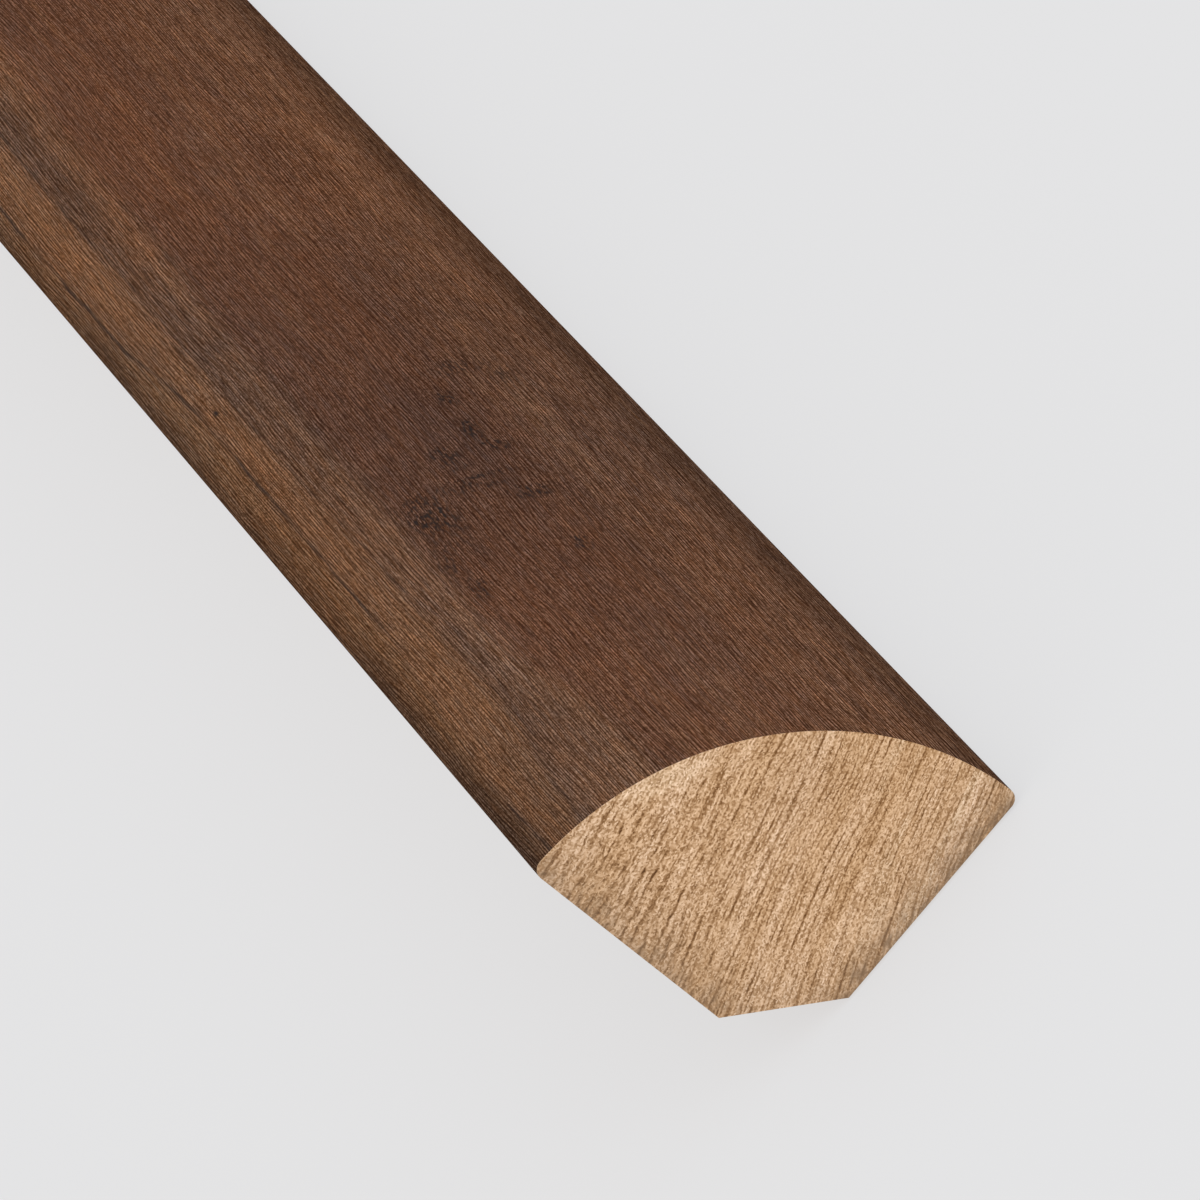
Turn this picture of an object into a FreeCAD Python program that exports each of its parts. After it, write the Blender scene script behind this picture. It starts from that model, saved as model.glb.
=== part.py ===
import FreeCAD, Part
import math
import os

import Sketcher

# Quarter round moulding: one milled strip of wood, sold by the length.
#
# The strip lies as it is fitted along a skirting: its floor leg is flat on Z = 0, its wall leg is
# upright at the back (+Y), and the round face looks forward (-Y) and up. The length runs along X.
# The origin is on the floor, under the middle of the section's box and of the length.
# Millimetres throughout.

NODE = "quarter_round_moulding"

doc = FreeCAD.newDocument("quarter_round")

# ---- driving sizes -------------------------------------------------------------------------
sheet = doc.addObject("Spreadsheet::Sheet", "sizes")
rows = [
    # alias, value, meaning
    ("leg_size", 19.05, "height of the wall leg and depth of the floor leg, corner to toe (3/4 in)"),
    ("round_radius", 19.05, "radius of the round face, struck from the square back corner"),
    ("stock_length", 1981.2, "length of the strip between its two square saw cuts (78 in)"),
    ("back_chamfer", 5.1, "flat milled across the back corner, measured along each leg"),
    ("toe_radius", 0.65, "small round on the two toes, where the round face meets the legs"),
]
for i, (alias, value, meaning) in enumerate(rows, start=1):
    sheet.set("A%d" % i, meaning)
    sheet.set("B%d" % i, repr(value))
    sheet.setAlias("B%d" % i, alias)
doc.recompute()

# ---- the strip -----------------------------------------------------------------------------
body = doc.addObject("PartDesign::Body", NODE)
body.Label = NODE
planes = {f.Role: f for f in body.Origin.OriginFeatures}

# Section, on the plane across the length: a quarter disc. Sketch x is the depth (Y), sketch y the
# height (Z).
section = body.newObject("Sketcher::SketchObject", "section")
section.AttachmentSupport = [(planes["YZ_Plane"], "")]
section.MapMode = "FlatFace"

leg = sheet.get("leg_size")
half = leg / 2.0
V = FreeCAD.Vector
corner = V(half, 0, 0)
toe = V(half - leg, 0, 0)
top = V(half, leg, 0)

floor_leg = section.addGeometry(Part.LineSegment(corner, toe), False)
wall_leg = section.addGeometry(Part.LineSegment(top, corner), False)
face = section.addGeometry(
    Part.ArcOfCircle(Part.Circle(corner, V(0, 0, 1), leg), math.pi / 2.0, math.pi), False)

# The legs meet square at the back corner, which is also the centre of the round face.
section.addConstraint(Sketcher.Constraint("Coincident", floor_leg, 1, wall_leg, 2))
section.addConstraint(Sketcher.Constraint("Coincident", face, 3, floor_leg, 1))
section.addConstraint(Sketcher.Constraint("Coincident", face, 1, wall_leg, 1))
section.addConstraint(Sketcher.Constraint("Coincident", face, 2, floor_leg, 2))
section.addConstraint(Sketcher.Constraint("Horizontal", floor_leg))
section.addConstraint(Sketcher.Constraint("Vertical", wall_leg))
# The floor leg is on the floor, and the back corner half the depth behind the origin.
section.addConstraint(Sketcher.Constraint("PointOnObject", floor_leg, 1, -1))
c_place = section.addConstraint(Sketcher.Constraint("DistanceX", -1, 1, floor_leg, 1, half))
section.renameConstraint(c_place, "corner_place")
c_radius = section.addConstraint(Sketcher.Constraint("Radius", face, leg))
section.renameConstraint(c_radius, "face_radius")
section.setExpression("Constraints.corner_place", "sizes.leg_size / 2")
section.setExpression("Constraints.face_radius", "sizes.round_radius")
doc.recompute()

# The section run along the whole length, half to each side of the origin.
strip = body.newObject("PartDesign::Pad", "strip")
strip.Profile = section
strip.SideType = "Symmetric"
strip.Length = sheet.get("stock_length")
strip.setExpression("Length", "sizes.stock_length")
doc.recompute()


def long_edges(shape, y, z):
    """Names of the straight edges that run along the length at this depth and height."""
    names = []
    for n, e in enumerate(shape.Edges, start=1):
        ends = [v.Point for v in e.Vertexes]
        if len(ends) == 2 and all(abs(p.y - y) < 1e-4 and abs(p.z - z) < 1e-4 for p in ends):
            names.append("Edge%d" % n)
    return names


# The back corner is milled off flat, so that the strip clears the sealant or the plaster in the
# angle of floor and wall.
back = body.newObject("PartDesign::Chamfer", "back_flat")
back.Base = (strip, long_edges(strip.Shape, half, 0.0))
back.Size = sheet.get("back_chamfer")
back.setExpression("Size", "sizes.back_chamfer")
doc.recompute()

# Both toes are eased, so that the round face runs into the legs without a feather edge.
toes = body.newObject("PartDesign::Fillet", "toes")
toes.Base = (back, long_edges(back.Shape, half - leg, 0.0) + long_edges(back.Shape, half, leg))
toes.Radius = sheet.get("toe_radius")
toes.setExpression("Radius", "sizes.toe_radius")
body.Tip = toes
doc.recompute()

# ---- checks on the document ----------------------------------------------------------------
for obj in doc.Objects:
    bad = [s for s in obj.State if s in ("Invalid", "Error")]
    if bad:
        raise RuntimeError("%s is %s" % (obj.Name, ", ".join(bad)))

shape = body.Shape
if shape.isNull() or not shape.isValid():
    raise RuntimeError("the strip's shape is not valid")
if len(shape.Solids) != 1 or not shape.isClosed():
    raise RuntimeError("the strip is not one closed solid")

# The section's area worked out by hand: quarter disc, less the corner triangle, less what the two
# eased toes lose (each under r squared times 1 - pi/4, within a few hundredths of a square mm).
area = math.pi / 4.0 * leg ** 2 - sheet.get("back_chamfer") ** 2 / 2.0
area -= 2.0 * (1.0 - math.pi / 4.0) * sheet.get("toe_radius") ** 2
want = area * sheet.get("stock_length")
if abs(shape.Volume - want) > 0.001 * want:
    raise RuntimeError("volume %.1f is not the section times the length, %.1f" % (shape.Volume, want))

box = shape.BoundBox
print("box x %.3f..%.3f  y %.3f..%.3f  z %.3f..%.3f" % (
    box.XMin, box.XMax, box.YMin, box.YMax, box.ZMin, box.ZMax))
print("volume %.1f mm3, faces %d" % (shape.Volume, len(shape.Faces)))
print("sketch degrees of freedom left:", section.solve(), section.FullyConstrained)

# ---- output --------------------------------------------------------------------------------
os.makedirs("parts", exist_ok=True)
shape.exportStep(os.path.join("parts", body.Label + ".step"))
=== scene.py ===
import math

import bpy
import numpy as np
from mathutils import Matrix, Vector


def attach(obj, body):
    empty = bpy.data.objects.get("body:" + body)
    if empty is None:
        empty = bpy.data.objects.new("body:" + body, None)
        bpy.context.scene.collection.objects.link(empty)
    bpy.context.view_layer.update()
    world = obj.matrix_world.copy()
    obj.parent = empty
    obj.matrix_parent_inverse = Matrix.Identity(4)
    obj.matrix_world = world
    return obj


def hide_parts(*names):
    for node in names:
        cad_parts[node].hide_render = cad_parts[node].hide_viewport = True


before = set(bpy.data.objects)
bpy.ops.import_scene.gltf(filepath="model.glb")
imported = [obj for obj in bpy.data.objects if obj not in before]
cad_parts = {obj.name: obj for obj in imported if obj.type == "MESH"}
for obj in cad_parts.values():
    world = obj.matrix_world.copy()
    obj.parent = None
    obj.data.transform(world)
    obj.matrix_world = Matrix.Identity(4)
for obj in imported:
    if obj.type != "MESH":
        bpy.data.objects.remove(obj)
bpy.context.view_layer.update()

NODE = "quarter_round_moulding"

# ---- the section's sizes, in millimetres (the same as the solid's) --------------------------
LEG = 19.05        # corner to toe
TOE = 0.65         # rounds on the two toes
BACK = 5.1         # flat across the back corner, along each leg
LENGTH = 1981.2
HALF = LEG / 2.0
MM = 0.001


# ---- small helpers for node trees ------------------------------------------------------------
class Num:
    """A number on a surface. Arithmetic on it adds Math nodes to its tree."""

    def __init__(self, tree, out):
        self.tree, self.out = tree, out

    def math(self, op, *others, clamp=False):
        n = self.tree.nodes.new("ShaderNodeMath")
        n.operation, n.use_clamp = op, clamp
        for i, o in enumerate((self,) + others):
            if isinstance(o, Num):
                self.tree.links.new(o.out, n.inputs[i])
            else:
                n.inputs[i].default_value = float(o)
        return Num(self.tree, n.outputs[0])

    def __add__(self, o): return self.math("ADD", o)
    def __radd__(self, o): return self.math("ADD", o)
    def __sub__(self, o): return self.math("SUBTRACT", o)
    def __mul__(self, o): return self.math("MULTIPLY", o)
    def __rmul__(self, o): return self.math("MULTIPLY", o)
    def __truediv__(self, o): return self.math("DIVIDE", o)
    def __neg__(self): return self.math("MULTIPLY", -1.0)
    def __rsub__(self, o): return (-self).math("ADD", o)
    def __pow__(self, o): return self.math("POWER", o)

    def abs(self): return self.math("ABSOLUTE")
    def exp(self): return self.math("EXPONENT")
    def clamp(self): return self.math("ADD", 0.0, clamp=True)
    def max(self, o): return self.math("MAXIMUM", o)
    def min(self, o): return self.math("MINIMUM", o)

    def step(self, low, high):
        """0 below low, 1 above high, smooth between (low may be the larger one)."""
        n = self.tree.nodes.new("ShaderNodeMapRange")
        n.interpolation_type = "SMOOTHSTEP"
        self.tree.links.new(self.out, n.inputs["Value"])
        if low < high:
            n.inputs["From Min"].default_value, n.inputs["From Max"].default_value = low, high
            n.inputs["To Min"].default_value, n.inputs["To Max"].default_value = 0.0, 1.0
        else:
            n.inputs["From Min"].default_value, n.inputs["From Max"].default_value = high, low
            n.inputs["To Min"].default_value, n.inputs["To Max"].default_value = 1.0, 0.0
        return Num(self.tree, n.outputs["Result"])

    def bump(self, centre, width):
        """A soft hill of height 1 at centre, width wide to each side."""
        d = (self - centre) / width
        return (-(d * d)).exp()


class Col:
    """A colour on a surface, in linear light."""

    def __init__(self, tree, out):
        self.tree, self.out = tree, out


class Tree:
    """The node tree of one new material, with the shader's own numbers set on its sockets."""

    def __init__(self, name, **shader):
        self.mat = bpy.data.materials.new(name)
        self.mat.use_nodes = True
        self.t = self.mat.node_tree
        self.t.nodes.clear()
        self.out = self.t.nodes.new("ShaderNodeOutputMaterial")
        self.bsdf = self.t.nodes.new("ShaderNodeBsdfPrincipled")
        self.t.links.new(self.bsdf.outputs[0], self.out.inputs[0])
        for k, v in shader.items():
            self.bsdf.inputs[k.replace("_", " ")].default_value = v

    def node(self, kind, **props):
        n = self.t.nodes.new(kind)
        for k, v in props.items():
            setattr(n, k, v)
        return n

    def place(self):
        """Place on the strip in mm: along from the photographed end, and the section's q and p
        (depth from the wall leg's plane, and height over the floor leg's)."""
        o = self.node("ShaderNodeTexCoord").outputs["Object"]
        s = self.node("ShaderNodeSeparateXYZ")
        self.t.links.new(o, s.inputs[0])
        x, y, z = (Num(self.t, s.outputs[i]) for i in range(3))
        return x * 1000.0 + LENGTH / 2.0, HALF - y * 1000.0, z * 1000.0

    def attr(self, name):
        a = self.node("ShaderNodeAttribute", attribute_type="GEOMETRY", attribute_name=name)
        s = self.node("ShaderNodeSeparateXYZ")
        self.t.links.new(a.outputs["Vector"], s.inputs[0])
        return [Num(self.t, s.outputs[i]) for i in range(3)]

    def vec(self, x, y, z=0.0):
        c = self.node("ShaderNodeCombineXYZ")
        for i, v in enumerate((x, y, z)):
            if isinstance(v, Num):
                self.t.links.new(v.out, c.inputs[i])
            else:
                c.inputs[i].default_value = float(v)
        return c.outputs[0]

    def noise(self, x, y, z=None, seed=0.0, detail=0.0, rough=0.5):
        """Noise of about -1 to 1, one wave for each unit of its coordinates."""
        n = self.node("ShaderNodeTexNoise", noise_dimensions="2D" if z is None else "3D", normalize=True)
        self.t.links.new(self.vec(x + seed * 13.7, y + seed * 7.3, 0.0 if z is None else z), n.inputs["Vector"])
        n.inputs["Scale"].default_value = 1.0
        n.inputs["Detail"].default_value = detail
        n.inputs["Roughness"].default_value = rough
        return (Num(self.t, n.outputs[0]) - 0.5) * 2.0

    def cells(self, x, y):
        """Distance to the nearest of scattered points, about one point for each unit square."""
        n = self.node("ShaderNodeTexVoronoi", voronoi_dimensions="2D", feature="F1")
        self.t.links.new(self.vec(x, y), n.inputs["Vector"])
        n.inputs["Scale"].default_value = 1.0
        return Num(self.t, n.outputs["Distance"])

    def shreds(self, x, y, seed=0.0):
        """Levels of -1 to 1 in small cells, about one cell for each unit square."""
        n = self.node("ShaderNodeTexVoronoi", voronoi_dimensions="2D", feature="F1")
        self.t.links.new(self.vec(x + seed * 13.7, y + seed * 7.3), n.inputs["Vector"])
        n.inputs["Scale"].default_value = 1.0
        s = self.node("ShaderNodeSeparateColor")
        self.t.links.new(n.outputs["Color"], s.inputs[0])
        return (Num(self.t, s.outputs[0]) - 0.5) * 2.0

    def ramp(self, value, stops):
        """Colour along value from a list of (place, linear colour)."""
        r = self.node("ShaderNodeValToRGB")
        lo, hi = stops[0][0], stops[-1][0]
        e = r.color_ramp.elements
        while len(e) < len(stops):
            e.new(0.5)
        for el, (at, c) in zip(e, stops):
            el.position = (at - lo) / (hi - lo)
            el.color = (*c, 1.0)
        v = (value - lo) / (hi - lo)
        self.t.links.new(v.out, r.inputs[0])
        return Col(self.t, r.outputs[0])

    def mix(self, fac, a, b, kind="MIX"):
        m = self.node("ShaderNodeMix", data_type="RGBA", blend_type=kind)
        for v, i in ((fac, 0), (a, 6), (b, 7)):
            if isinstance(v, (Num, Col)):
                self.t.links.new(v.out, m.inputs[i])
            elif i:
                m.inputs[i].default_value = (*v, 1.0)
            else:
                m.inputs[i].default_value = v
        return Col(self.t, m.outputs[2])

    def scale(self, colour, level, powers):
        """The colour times level, each channel of level raised to its own power."""
        c = self.node("ShaderNodeCombineColor")
        for i, p in enumerate(powers):
            self.t.links.new((level ** p).out, c.inputs[i])
        return self.mix(1.0, colour, Col(self.t, c.outputs[0]), "MULTIPLY")

    def finish(self, colour, rough=None, height=None, distance=0.0):
        self.t.links.new(colour.out, self.bsdf.inputs["Base Color"])
        if rough is not None:
            self.t.links.new(rough.out, self.bsdf.inputs["Roughness"])
        if height is not None:
            b = self.node("ShaderNodeBump")
            b.inputs["Strength"].default_value = 1.0
            b.inputs["Distance"].default_value = distance
            self.t.links.new(height.out, b.inputs["Height"])
            self.t.links.new(b.outputs[0], self.bsdf.inputs["Normal"])
        return self.mat


def srgb(r, g, b):
    """Linear colour of an sRGB value, 0 to 255."""
    def one(v):
        v /= 255.0
        return v / 12.92 if v <= 0.04045 else ((v + 0.055) / 1.055) ** 2.4
    return one(r), one(g), one(b)


# ---- materials -------------------------------------------------------------------------------
DARK = (0.88, 1.01, 1.13)   # a fibre is redder where it is darker: powers for r, g and b
SLOW = (1.04, 1.0, 0.85)    # and a broad streak of the stain greyer
RAW = (0.83, 1.06, 1.40)    # raw wood is redder where it is darker, more so than the stain


def stained_face():
    """Walnut-brown matt stain. Fine fibres and pores run along the strip over slow bands: olive at
    the top toe, then orange-brown, grey-brown, the red-brown middle and a darker lower toe. The
    lower toe's darkening is partly the stain's own colour and partly painted shade, where the face
    turns away from the light; the top toe's edge is darkened with painted shade. The edges between
    the bands and the slow drift along them are in the mesh (bands, ink, drift)."""
    m = Tree("stained_face", Roughness=0.6)
    m.bsdf.inputs["Specular IOR Level"].default_value = 0.0
    x, q, p = m.place()
    t = q.math("ARCTAN2", p) * LEG            # mm over the round face, from the top toe down
    e_a, e_b, e_c = m.attr("bands")
    ink_a, ink_b, tone = m.attr("ink")
    warm, soft, _ = m.attr("drift")

    # The fibres wander a little as they run, and lie wider apart towards the lower toe.
    ts = t + m.noise(x * 0.02, t * 0.07, seed=1, detail=1.0) * 0.6
    low = (ts - 10.0).max(0.0)
    tw = ts - low * low * 0.0105
    def lines(every, along, seed):
        """Light and dark hairs side by side along the strip, each of its own strength, which comes and goes."""
        n = tw / every + m.noise(x * 0.1, ts * 0.7, seed=seed, detail=1.0) * 1.0
        own = m.noise(n.math("FLOOR") * 0.731, x * along, seed=seed + 1, detail=1.0, rough=0.7)
        return (n * (2.0 * math.pi)).math("SINE") * (0.25 + own * 1.4)
    hair = lines(0.155, 0.22, 20.0) + lines(0.125, 0.4, 23.0) * 1.3 + lines(0.105, 0.35, 26.0)
    fine = m.shreds(x * 6.0, tw * 14.0, seed=3)
    hue = m.noise(x * 0.4, ts * 5.0, seed=12, detail=1.0)
    fibre = m.noise(x * 0.10, ts * 4.2, seed=4, detail=1.0)
    streak = m.noise(x * 0.018, ts * 0.95, seed=5, detail=2.0, rough=0.65)
    cloud = m.noise(x * 0.085 + ts * 0.05, ts * 0.11, seed=6, detail=1.0)
    ripple = m.noise(x * 0.45, ts * 0.13 + x * 0.06, seed=7)
    tint = m.noise(x * 0.035, ts * 0.3, seed=14, detail=1.0)
    pore = m.noise(x * 0.26, ts * 8.5, seed=8)

    # Bands across the face, ragged along the fibres.
    rag = fibre * 0.35 + streak * 0.35
    col = m.mix((e_a + rag * 0.6).step(-0.4, 0.4), srgb(103, 74, 52.5), srgb(110.5, 77.5, 54.5))
    col = m.mix(((e_b + rag + soft * 0.35) / (1.0 + soft)).step(-0.35, 0.45), col, srgb(96.3, 69.0, 52.0))
    col = m.mix((e_c + rag * 1.5).step(-0.8, 0.6), col, srgb(90.6, 61.3, 45.8))
    col = m.mix((t + streak * 2.0).step(12.5, 21.5), col, srgb(94.2, 64.3, 46.5))
    # the darker lower toe: partly the stain's own colour, partly painted shade where the face turns away from the
    # light
    col = m.mix((t + streak * 1.5 + ripple * 1.0).step(23.0, 26.5), col, srgb(77, 52, 37))
    # painted shade: the top toe's edge darkened over its last 1.8 mm
    col = m.mix(t.step(1.8, 0.0), col, srgb(79, 57, 42.5))
    col = m.mix((streak * 1.3 + fibre * 0.5).step(0.1, 0.7) * 0.3, col, srgb(104, 74, 53))

    # Dark pores: few in the red-brown middle, more in the grey band and in the burr.
    xd = x + ripple * 1.2 + fine * 0.5
    td = t + cloud * 0.8 + fibre * 0.25
    def spot(x0, t0, sx, st, k):
        return (-(((xd - x0) / sx) ** 2.0 + ((td - t0) / st) ** 2.0)).exp() * k
    burr = spot(42.3, 8.6, 3.2, 1.2, 1.0) + spot(44.7, 12.3, 0.7, 2.4, 0.7)
    for s in ((48.8, 11.6, 1.5, 0.7, 1.0), (41.5, 13.9, 0.9, 1.0, 1.0), (49.2, 14.3, 1.0, 0.9, 0.9),
              (52.4, 13.8, 1.6, 0.5, 1.0), (58.1, 13.9, 0.9, 0.6, 1.1), (32.3, 14.2, 0.9, 0.4, 1.2),
              (62.8, 16.4, 1.0, 1.3, 0.6), (61.3, 18.7, 2.0, 1.0, 0.5), (30.8, 8.2, 1.3, 0.5, 0.8),
              (35.5, 7.6, 3.0, 0.7, 0.5), (37.0, 9.5, 4.0, 0.6, 0.2)):
        burr = burr + spot(*s)
    # and further along the strip, where figure of the same kind turns up now and then
    far = m.noise(x * 0.028, t * 0.17, seed=9, detail=1.0).step(0.3, 0.6) * x.step(110.0, 150.0)
    burr = (burr + far * 0.7).min(1.0)
    grey = (e_b + rag).step(-0.2, 0.3) * (e_c + rag).step(0.6, -0.4)
    fleck = m.noise(x * 1.1, ts * 6.0, seed=11, detail=1.0)
    dash = pore.step(0.15, 0.5) * (0.25 + grey * 0.4 + e_b.bump(0.45, 0.45) * 0.35)
    ink = ((fleck + hair * 0.25).step(-0.05, 0.35) * burr * 1.6).clamp()

    # Hairlines along the two band edges, broken here and there, one more lower down, and a pin knot.
    gap = m.noise(x * 0.11, 0.0, seed=10, detail=2.0)
    waver = m.noise(x * 0.3, 0.5, seed=13, detail=2.0)
    side_a = e_a + fibre * 0.06 + waver * 0.12
    side_b = e_b + fibre * 0.10 - waver * 0.16
    line = side_a.bump(0.0, 0.10) * ink_a * (0.75 + gap * 1.4).clamp()
    line = line + side_b.bump(0.0, 0.10) * ink_b * (0.75 - gap * 1.4).clamp()
    line = line + (t - 23.7 + (x - 11.0) * 0.158 + waver * 0.3).bump(0.0, 0.09) * x.step(10.0, 12.0) * x.step(17.5, 15.5) * 0.7
    halo = side_a.bump(0.1, 0.42) * ink_a * 0.3 + side_b.bump(0.15, 0.4) * ink_b * 0.35
    knot = (-(((x - 70.4) / 0.42) ** 2.0 + ((t - 3.2) / 0.13) ** 2.0)).exp()

    side = t.step(12.0, 24.0)
    # in the level, the small step down over t 22 to 27 is more painted shade on the lower toe
    level = ((hair * 2.0).math("TANH") * (0.78 + side * 0.36 + t.step(22.0, 27.0) * 0.25) + fine * 0.5 + fibre * (0.07 + grey * 0.06)
             - dash * 0.6 - 0.11 - t.step(22.0, 27.0) * 0.06).exp()
    slow = (streak * (0.16 + grey * 0.2 + side * 0.1) + cloud * 0.10 + ripple * (0.05 + side * side * 0.12) + tone).exp()
    col = m.mix(halo, col, srgb(90, 67, 53))
    col = m.scale(m.scale(col, level, DARK), slow, SLOW)
    col = m.scale(col, (hue * 0.14 + tint * (0.09 - side * 0.05) + warm - 0.065).exp(), (1.0, 0.1, -1.1))
    col = m.mix((ink + line + knot * 1.3).min(1.0) * 0.92, col, srgb(42, 37, 35))
    rough = 0.6 + dash * 0.12 - fine * 0.03
    return m.finish(col, rough, fibre, 0.000008)


def rings(m, x, q, p):
    """The raw wood's growth layers, the same through the whole strip: how far across them a point
    lies, and how far along them, in mm."""
    bend = m.noise(q * 0.08, p * 0.08, x * 0.0012, detail=1.0) * 0.8
    return (p - q * (0.52 - p * 0.019)) * 0.83 + bend, (q + p * 0.33) * 0.95


def end_grain():
    """Raw sawn end: growth layers as fine ragged lines, over a crumbly pored grain that the saw has torn
    towards the top toe; pale streaks towards the lower toe, and the wood darker and greyer along the legs."""
    m = Tree("sawn_end", Roughness=0.85)
    m.bsdf.inputs["Specular IOR Level"].default_value = 0.1
    x, q, p = m.place()
    r, a = rings(m, x, q, p)
    mottle = m.noise(q * 0.5, p * 0.5, seed=7, detail=1.0)
    torn = (p - q * 0.9 + mottle * 4.0).step(2.0, 12.0)
    jag = m.noise(q * 1.5, p * 1.5, seed=3, detail=1.0, rough=0.7)
    r = r + jag * (0.03 + torn * 0.065)
    speck = m.shreds(a * 10.0, r * 12.0, seed=1)
    crumb = m.noise(q * 7.0, p * 7.0, seed=9, detail=1.0, rough=0.8)
    bits = m.noise(a * 1.3, r * 4.5, seed=2, detail=1.0)
    band = m.noise(a * 0.03, r * 0.5, seed=4, detail=2.0, rough=0.6)

    def lines(every, along, seed):
        """Places between the growth lines, 0 to 1, and each line's own strength, which comes and goes."""
        n = r / every + m.noise(a * 0.06, r * 0.4, seed=seed, detail=1.0) * 0.9
        own = m.noise(n.math("FLOOR") * 0.731, a * along, seed=seed + 1, detail=1.0, rough=0.7)
        return n.math("FRACT"), own
    wide, own_w = lines(0.56, 0.20, 20.0)
    thin, own_t = lines(0.31, 0.4, 23.0)
    silk, own_s = lines(0.20, 0.5, 26.0)
    crack = wide.bump(0.5, 0.12) * (0.5 + own_w * 1.6 + bits * (0.5 + torn * 1.0)).clamp()
    dark = crack + thin.bump(0.5, 0.17) * (0.35 + own_t * 1.8 + bits * (0.5 + torn * 0.9)).clamp() * 0.85
    dark = dark + (bits + crumb * 0.4).step(0.25, 0.5) * torn * 0.5
    # a paler patch with hardly any lines under the round face of the photographed end
    depth = LEG - (q * q + p * p) ** 0.5
    swirl = (depth + jag * 0.5).step(1.7, 0.6) * q.bump(8.1, 2.2) * x.step(2.0, 1.0)
    curl = m.noise((q + p * 0.7) * 0.9, depth * 3.5 + q * 0.8, seed=31, detail=1.0) * swirl
    dark = dark * (1.0 - swirl * 0.85)
    sheen = (silk * (2.0 * math.pi)).math("SINE") * own_s
    streaks = m.noise(a * 0.10, r * 1.1, seed=12, detail=1.0).step(0.0, 0.45) * (q - p * 1.2 + mottle * 3.0).step(2.0, 13.0)
    # darker and greyer towards the two legs, in patches
    edge = (-(q / 1.9)).exp() * (0.85 + mottle * 0.5) + (-(p / 1.2)).exp() * (1.25 + mottle * 0.5)
    # pores and torn fibres go darker than the wood between them goes light
    grit = speck * 0.62 + crumb * 0.25 + sheen * 0.7 - dark * 0.95
    grit = grit - grit.max(0.0) * 0.5
    patch = p.bump(1.8, 1.5) * q.bump(8.0, 2.5) * 0.12 - p.bump(10.5, 2.5) * q.bump(12.5, 2.5) * 0.16
    level = (band * 0.18 + grit + mottle * 0.06 + patch + curl * 0.3 + 0.05).exp()
    col = m.mix(band.step(-0.4, 0.4), srgb(202, 162.5, 122.5), srgb(208, 171.5, 136))
    col = m.mix((streaks * 0.55).max(swirl * 0.6), col, srgb(216, 184, 149))
    col = m.scale(col, level, RAW)
    col = m.mix((edge * (0.75 + bits * 0.6)).clamp() * 0.85, col, srgb(129, 104, 81))
    return m.finish(col, 0.85 + crumb * 0.05, speck * 0.5 - crack, 0.00001)


def raw_back():
    """Raw planed legs and back flat: the same growth layers cut lengthwise, fine fibres, knife
    marks from the moulder, and stain that has crept round the toes."""
    m = Tree("raw_back", Roughness=0.8)
    m.bsdf.inputs["Specular IOR Level"].default_value = 0.12
    x, q, p = m.place()
    r, a = rings(m, x, q, p)
    r = r + m.noise(x * 0.0045, q * 0.06, p * 0.06, detail=2.0) * 1.6
    band = m.noise(x * 0.002, r * 0.6, seed=4, detail=3.0, rough=0.6)
    wide = m.noise(x * 0.006, r * 1.6, seed=5, detail=2.0, rough=0.6)
    fibre = m.noise(x * 0.12, q * 3.5, p * 3.5, detail=1.0, rough=0.65)
    pore = m.noise(x * 0.3, q * 5.0, p * 5.0 + 4.0)
    chatter = (x * (2.0 * math.pi / 1.7) + m.noise(x * 0.01, q * 0.05 + p * 0.05) * 2.0).math("SINE")
    level = (band * 0.20 + fibre * 0.26 - wide.step(0.05, 0.5) * 0.30 - pore.step(0.2, 0.6) * 0.28 + chatter * 0.015 + 0.06).exp()
    col = m.scale(m.ramp(band, [(-0.6, srgb(190, 153, 115)), (0.6, srgb(206, 172, 135))]), level, RAW)
    creep = m.noise(x * 0.05, q * 0.8, p * 0.8, detail=3.0, rough=0.65)
    bleed = (q.max(p) + creep * 0.9).step(17.1, 18.3)
    col = m.mix(bleed * 0.9, col, srgb(84, 58, 43))
    height = fibre * 0.5 - wide.step(0.05, 0.5) * 0.3 + chatter * 0.5
    return m.finish(col, 0.8 + fibre * 0.05, height, 0.00002)


# ---- the strip's mesh -------------------------------------------------------------------------
def outline():
    """The section as (q, p, zone) points, going over the round face first: zone 0 is the stained
    face with its toes, zone 1 the raw legs and back flat."""
    a = math.asin(TOE / (LEG - TOE))               # where a toe round meets the round face
    c = math.sqrt((LEG - TOE) ** 2 - TOE ** 2)      # a toe round's centre along its leg
    pts = []

    def arc(cq, cp, r, a0, a1, n, zone, last=False):
        for i in range(n + (1 if last else 0)):
            w = a0 + (a1 - a0) * i / n
            pts.append((cq + r * math.cos(w), cp + r * math.sin(w), zone))

    def line(q0, p0, q1, p1, n, zone):
        for i in range(n):
            w = i / n
            pts.append((q0 + (q1 - q0) * w, p0 + (p1 - p0) * w, zone))

    arc(TOE, c, TOE, math.pi, math.pi / 2 - a, 8, 0)
    arc(0, 0, LEG, math.pi / 2 - a, a, 96, 0)
    arc(c, TOE, TOE, a, -math.pi / 2, 8, 0)
    line(c, 0, BACK, 0, 16, 1)
    line(BACK, 0, 0, BACK, 8, 1)
    line(0, BACK, 0, c, 16, 1)
    return pts


def stations():
    """Places along the length, in mm from the photographed end."""
    return np.concatenate([np.linspace(0.0, 120.0, 61)[:-1], np.linspace(120.0, LENGTH, 250)])


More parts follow.
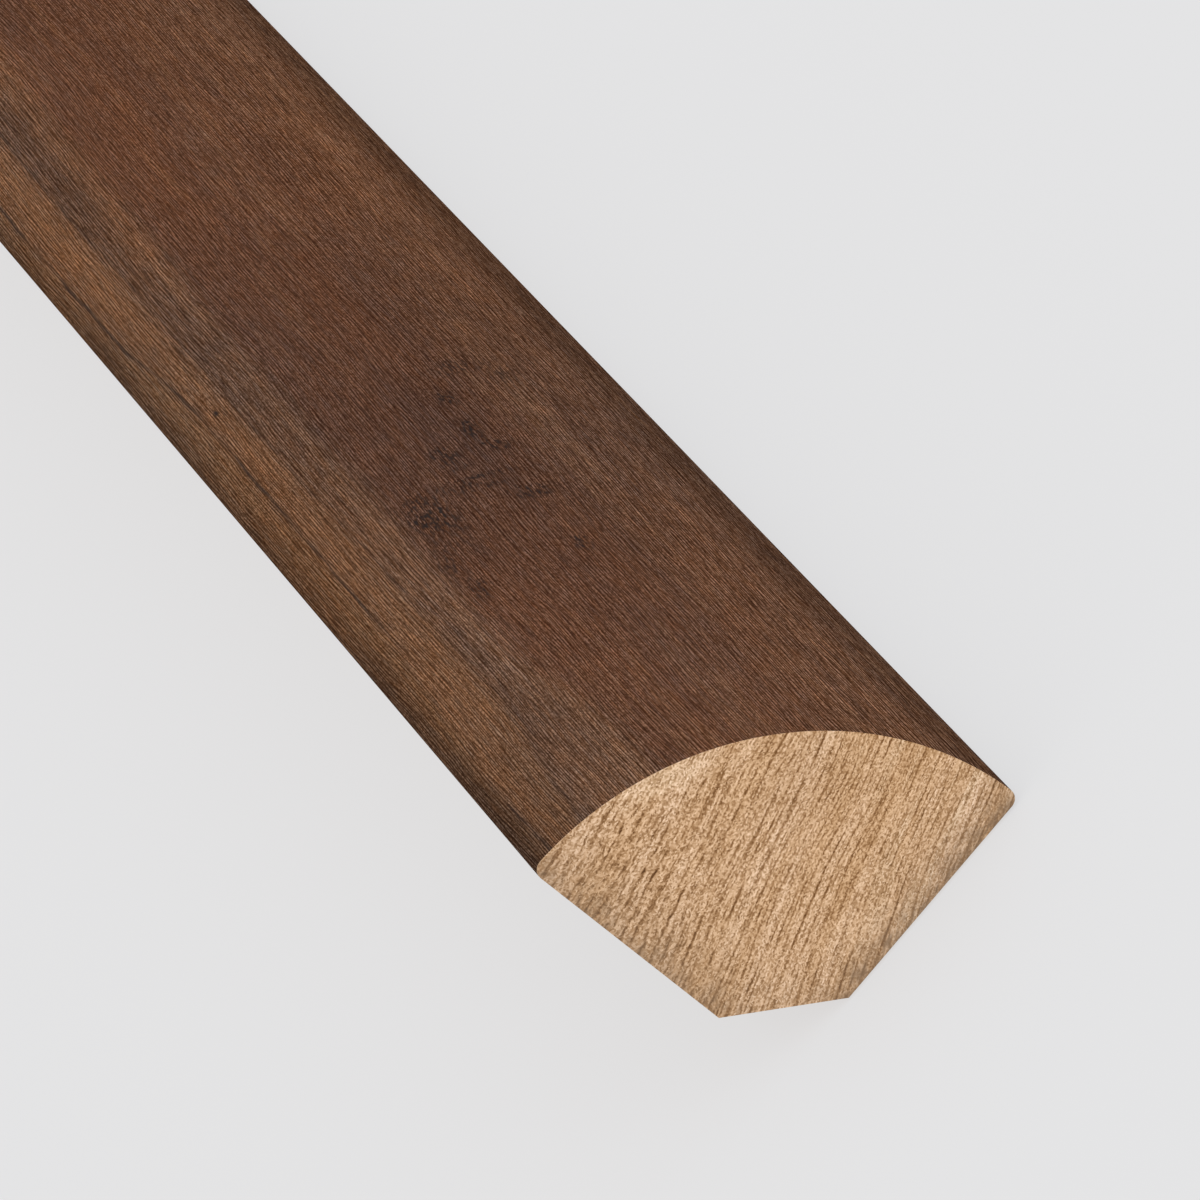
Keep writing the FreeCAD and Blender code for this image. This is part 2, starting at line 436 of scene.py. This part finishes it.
def along_curve(x, known, mean, swing, seed):
    """A slow line along the strip through known (place, value) pairs, going on past the last one in
    smooth swings about a mean."""
    rng = np.random.default_rng(seed)
    xs, ys = [k[0] for k in known], [k[1] for k in known]
    at = xs[-1]
    while at < LENGTH + 200.0:
        at += rng.uniform(60.0, 150.0)
        xs.append(at)
        ys.append(mean + swing * rng.uniform(-1.0, 1.0))
    xs, ys = np.array(xs), np.array(ys)
    # cubic through the points, with slopes that don't overshoot
    h, d = np.diff(xs), np.diff(ys) / np.diff(xs)
    sl = np.zeros(len(xs))
    same = d[:-1] * d[1:] > 0
    sl[1:-1][same] = 2.0 / (1.0 / d[:-1][same] + 1.0 / d[1:][same])
    i = np.clip(np.searchsorted(xs, x, side="right") - 1, 0, len(h) - 1)
    u = (x - xs[i]) / h[i]
    return ((2 * u ** 3 - 3 * u ** 2 + 1) * ys[i] + (u ** 3 - 2 * u ** 2 + u) * h[i] * sl[i]
            + (-2 * u ** 3 + 3 * u ** 2) * ys[i + 1] + (u ** 3 - u ** 2) * h[i] * sl[i + 1])


def grain_fields(x, q, p):
    """For each vertex: how far past the three band edges it lies (mm over the face), how dark the
    hairlines on the first two edges are there, the slow light and dark of the stain, how warm its
    brown is and how soft the second edge."""
    t = np.arctan2(q, p) * LEG
    a = along_curve(x, [(0, 1.45), (10, 1.35), (18, 1.7), (26, 2.1), (35, 2.4), (45, 2.35), (55, 2.35),
                        (65, 2.4), (72, 2.35), (79, 2.1), (86, 1.55), (95, 1.45), (105, 1.4)], 2.4, 1.2, 3)
    b = along_curve(x, [(0, 3.85), (8, 4.1), (14, 4.55), (25, 4.6), (35, 4.55), (45, 4.5), (55, 4.35),
                        (70, 4.25), (85, 4.3), (105, 4.25)], 5.0, 1.3, 5)
    c = along_curve(x, [(0, 8.8), (10, 8.6), (16, 7.7), (22, 7.1), (30, 6.95), (50, 7.1), (60, 7.05),
                        (80, 6.9), (90, 7.15), (105, 7.25)], 9.0, 2.2, 7)
    ink_a = along_curve(x, [(0, 1.0), (5, 0.9), (9, 0.25), (30, 0.2), (34, 0.9), (43, 0.7), (54, 0.8),
                            (60, 0.8), (78, 0.75), (82, 0.5), (88, 0.9), (105, 0.85)], 0.5, 0.5, 11)
    ink_b = along_curve(x, [(0, 0.3), (6, 0.25), (10, 0.1), (33, 0.1), (36, 0.35), (46, 0.3), (52, 0.1),
                            (60, 0.35), (70, 0.4), (80, 0.2), (90, 0.4), (105, 0.5)], 0.45, 0.45, 13)
    tone = along_curve(x, [(0, 0.06), (10, 0.04), (20, 0.06), (32, 0.0), (42, -0.01), (52, -0.05), (62, -0.07),
                           (72, -0.05), (82, -0.01), (105, 0.05)], 0.0, 0.12, 17)
    # the first two bands fade towards the photographed end, where the toe is darker too; a dark streak
    # runs under the second edge and a pale one over the third, both of them coming and going
    fade = along_curve(x, [(0, -0.26), (8, -0.20), (15, -0.08), (25, -0.02), (40, -0.05), (55, -0.02), (70, 0.0), (105, 0.0)], 0.0, 0.06, 19)
    toe = along_curve(x, [(0, -0.16), (12, -0.20), (28, -0.28), (38, 0.0), (60, 0.12), (75, 0.09), (90, 0.0), (105, 0.0)], 0.0, 0.08, 37)
    lift = along_curve(x, [(0, 0.17), (8, 0.16), (15, 0.07), (34, 0.07), (42, 0.04), (55, 0.0), (105, 0.0)], 0.0, 0.07, 41)
    dip = along_curve(x, [(0, 0.1), (15, 0.8), (30, 0.8), (38, 0.1), (50, 0.0), (58, 0.45), (76, 0.5), (86, 0.2), (105, 0.2)],
                      0.5, 0.5, 23)
    shade = along_curve(x, [(0, 0.0), (74, 0.0), (84, 1.25), (105, 1.25)], 0.4, 0.4, 47)
    soft = along_curve(x, [(0, 0.2), (14, 0.0), (30, 0.0), (38, 0.3), (50, 0.3), (60, 0.1), (72, 0.3), (82, 1.0), (105, 1.0)], 0.5, 0.5, 53)
    pale = along_curve(x, [(0, 0.0), (6, 0.1), (15, 0.6), (30, 0.8), (38, 0.3), (50, 0.0), (75, 0.0), (84, 0.5),
                           (95, 0.6), (105, 0.4)], 0.45, 0.45, 29)
    inside = 1.0 / (1.0 + np.exp((b + 0.1 - t) / 0.15)) / (1.0 + np.exp((t - c + 0.8) / 0.35))
    tone = (tone + fade / (1.0 + np.exp((t - b) / 0.25)) - 0.21 * dip * np.exp(-((t - b - 0.3) / 0.34) ** 2)
            + 0.19 * pale * np.exp(-((t - c + 0.6) / 0.6) ** 2) + lift * inside + toe * np.exp(-((t - 0.9) / 0.6) ** 2)
            - 0.14 * shade * np.exp(-((t - a - 0.55) / 0.35) ** 2))
    warm = along_curve(x, [(0, 0.06), (12, 0.05), (22, 0.04), (30, 0.045), (38, 0.04), (47, 0.01), (57, 0.015),
                           (67, 0.045), (77, 0.06), (88, 0.075), (105, 0.10)], 0.03, 0.07, 31)
    olive = along_curve(x, [(0, 0.04), (15, 0.01), (30, 0.01), (42, 0.09), (60, 0.07), (78, 0.05), (105, 0.05)], 0.03, 0.04, 43)
    warm = (warm * (1.0 / (1.0 + np.exp((b + 1.0 - t) / 0.5))) + 0.03 * pale * np.exp(-((t - c + 0.6) / 0.6) ** 2)
            + olive / (1.0 + np.exp((t - b + 0.8) / 0.3)) + 0.04 / (1.0 + np.exp((t - a + 0.2) / 0.2)) - 0.03 * inside * (x < 400) * np.exp(-x / 15.0))
    return (np.stack([t - a, t - b, t - c], -1), np.stack([ink_a, ink_b, tone], -1),
            np.stack([warm, soft, 0.0 * soft], -1))


def flat_map(me, ring, along, faces):
    """The strip laid out flat for its textures, fibres along the picture's width. The round face gets
    many pixels across its fine fibres and fewer along them, except near the photographed end."""
    px = 1024.0
    n, rows = len(ring), len(along)
    q = np.array([r[0] for r in ring] + [ring[0][0]])
    p = np.array([r[1] for r in ring] + [ring[0][1]])
    s = np.concatenate([[0.0], np.cumsum(np.hypot(np.diff(q), np.diff(p)))])   # mm round the section
    face = sum(1 for r in ring if r[2] == 0)
    wide, round_px, back_px, top = px - 8.0, 338.0, 62.0, 4.0
    bands = []      # for both zones: (first row, last row, pixels along at its rows, lower edge, pixels a mm across)

    def band(r0, r1, weights, zone, high):
        nonlocal top
        steps = np.diff(along[r0:r1 + 1]) * weights
        at = np.concatenate([[0.0], np.cumsum(steps)])
        span = s[face] if zone == 0 else s[-1] - s[face]
        bands.append((zone, r0, r1, 4.0 + at / at[-1] * wide, top, high / span))
        top += high + 5.0

    part = int(np.argmin(np.abs(along - 430.0)))
    mid = int(np.argmin(np.abs(along - LENGTH / 2)))
    close = np.where(along[1:part + 1] < 112.0, 3.4, 1.0)
    band(0, part, close, 0, round_px)
    band(part, rows - 1, np.ones(rows - 1 - part), 0, round_px)
    band(0, mid, np.ones(mid), 1, back_px)
    band(mid, rows - 1, np.ones(rows - 1 - mid), 1, back_px)
    end_mm = (px - 5.0 - top) / LEG

    of_row = {}
    for zone, r0, r1, at, low, k in bands:
        for i in range(r0, r1):
            of_row[zone, i] = (at[i - r0], at[i - r0 + 1], low, k)
    uv = []
    for i in range(rows - 1):
        for j in range(n):
            zone = ring[j][2]
            a0, a1, low, k = of_row[zone, i]
            base = 0.0 if zone == 0 else s[face]
            v0, v1 = low + (s[j] - base) * k, low + (s[j + 1] - base) * k
            uv += [(a0, v0), (a0, v1), (a1, v1), (a1, v0)]
    co = np.zeros(len(me.vertices) * 3, np.float32)
    me.vertices.foreach_get("co", co)
    co = co.reshape(-1, 3)
    for f in faces[(rows - 1) * n:]:
        right = 5.0 + LEG * end_mm if co[f[0], 0] > 0.0 else 0.0
        uv += [(4.0 + right + (HALF - co[v, 1] / MM) * end_mm, top + co[v, 2] / MM * end_mm) for v in f]
    me.uv_layers.new(name="OFBake").uv.foreach_set("vector", (np.array(uv, np.float32) / px).ravel())


def build():
    ring = outline()
    n = len(ring)
    along = stations()
    rows = len(along)
    q = np.array([r[0] for r in ring])
    p = np.array([r[1] for r in ring])
    zone = [r[2] for r in ring]
    verts = np.zeros((rows, n, 3))
    verts[:, :, 0] = (along[:, None] - LENGTH / 2) * MM
    verts[:, :, 1] = (HALF - q)[None, :] * MM
    verts[:, :, 2] = p[None, :] * MM
    verts = list(map(tuple, verts.reshape(-1, 3)))
    faces, mats = [], []
    for i in range(rows - 1):
        for j in range(n):
            k = (j + 1) % n
            faces.append((i * n + j, i * n + k, (i + 1) * n + k, (i + 1) * n + j))
            mats.append(0 if zone[j] == 0 else 1)
    # Both sawn ends: rings that shrink towards a point inside the section, and a fan in the middle.
    cq, cp = 8.3, 8.3
    steps = [0.985, 0.95, 0.88, 0.78, 0.66, 0.54, 0.42, 0.30, 0.18, 0.08]
    for end, row in ((0, 0), (1, rows - 1)):
        last = [row * n + j for j in range(n)]
        xx = (along[row] - LENGTH / 2) * MM
        for s in steps:
            new = []
            for j in range(n):
                new.append(len(verts))
                verts.append((xx, (HALF - (cq + (q[j] - cq) * s)) * MM, (cp + (p[j] - cp) * s) * MM))
            for j in range(n):
                k = (j + 1) % n
                f = (last[j], new[j], new[k], last[k])
                faces.append(f if end == 0 else f[::-1])
                mats.append(2)
            last = new
        c = len(verts)
        verts.append((xx, (HALF - cq) * MM, cp * MM))
        for j in range(n):
            k = (j + 1) % n
            f = (last[j], c, last[k])
            faces.append(f if end == 0 else f[::-1])
            mats.append(2)
    me = bpy.data.meshes.new("moulding")
    me.from_pydata(verts, [], faces)
    flat_map(me, ring, along, faces)
    for mat in (stained_face(), raw_back(), end_grain()):
        me.materials.append(mat)
    me.polygons.foreach_set("material_index", np.array(mats, np.int32))
    me.update()
    co = np.array(verts)
    bands, ink, drift = grain_fields(co[:, 0] / MM + LENGTH / 2, HALF - co[:, 1] / MM, co[:, 2] / MM)
    for name, values in (("bands", bands), ("ink", ink), ("drift", drift)):
        me.attributes.new(name, "FLOAT_VECTOR", "POINT").data.foreach_set("vector", values.astype(np.float32).ravel())
    ob = bpy.data.objects.new("moulding", me)
    bpy.context.scene.collection.objects.link(ob)
    # smooth along the strip, sharp at the sawn ends and where the flats meet
    me.polygons.foreach_set("use_smooth", np.ones(len(me.polygons), bool))
    sharp = me.attributes.new("sharp_edge", "BOOLEAN", "EDGE")
    nrm = np.zeros(len(me.polygons) * 3, np.float32)
    me.polygons.foreach_get("normal", nrm)
    nrm = nrm.reshape(-1, 3)
    by_edge = {}
    for f in me.polygons:
        for key in f.edge_keys:
            by_edge.setdefault(key, []).append(f.index)
    flags = np.zeros(len(me.edges), bool)
    for e in me.edges:
        fs = by_edge[e.key]
        flags[e.index] = len(fs) == 2 and float(nrm[fs[0]] @ nrm[fs[1]]) < math.cos(math.radians(30))
    sharp.data.foreach_set("value", flags)
    return ob


strip = build()
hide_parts(NODE)
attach(strip, "root")

# ---- floor, light and camera -------------------------------------------------------------------
def floor():
    m = Tree("floor_matt", Roughness=0.9)
    m.bsdf.inputs["Specular IOR Level"].default_value = 0.0
    # mostly a lit table top, so that shadows on it stay faint
    pale = srgb(227, 227, 228)
    m.bsdf.inputs["Base Color"].default_value = (*[0.2 * c for c in pale], 1.0)
    m.bsdf.inputs["Emission Color"].default_value = (*[0.8 * c for c in pale], 1.0)
    m.bsdf.inputs["Emission Strength"].default_value = 1.0
    m.mat.cycles.emission_sampling = "NONE"
    r = 40.0
    me = bpy.data.meshes.new("floor")
    me.from_pydata([(-r, -r, 0), (r, -r, 0), (r, r, 0), (-r, r, 0)], [], [(0, 1, 2, 3)])
    me.materials.append(m.mat)
    ob = bpy.data.objects.new("floor", me)
    ob.location = (0, 0, -0.0002)
    bpy.context.scene.collection.objects.link(ob)


floor()

world = bpy.data.worlds.new("studio")
bpy.context.scene.world = world
world.use_nodes = True
bg = next(n for n in world.node_tree.nodes if n.type == "BACKGROUND")
bg.inputs[0].default_value = (1.0, 1.0, 1.0, 1.0)
bg.inputs[1].default_value = 0.92


def soft(name, towards, power, angle):
    """A large soft light from one side: it shines the given way over the whole strip."""
    d = bpy.data.lights.new(name, "SUN")
    d.energy, d.angle = power, math.radians(angle)
    o = bpy.data.objects.new(name, d)
    o.rotation_euler = Vector(towards).to_track_quat("-Z", "Y").to_euler()
    bpy.context.scene.collection.objects.link(o)


soft("key", (0.75, 0.25, -0.60), 0.8, 50.0)

cam_data = bpy.data.cameras.new("camera")
cam_data.sensor_width = 36.0
cam_data.lens = 374.65
cam_data.clip_start, cam_data.clip_end = 0.05, 100.0
cam = bpy.data.objects.new("camera", cam_data)
right = Vector((-0.293468, -0.6459555, -0.7047113))
up = Vector((0.3205791, -0.7609827, 0.5640341))
ahead = Vector((0.900614, 0.0603898, -0.4304039))
m4 = Matrix((
    (right.x, up.x, -ahead.x, -1.574157),
    (right.y, up.y, -ahead.y, -0.0429146),
    (right.z, up.z, -ahead.z, 0.3050636),
    (0, 0, 0, 1)))
cam.matrix_world = m4
bpy.context.scene.collection.objects.link(cam)
bpy.context.scene.camera = cam

vs = bpy.context.scene.view_settings
vs.view_transform = "Standard"
vs.look = "None"
vs.exposure, vs.gamma = 0.0, 1.0
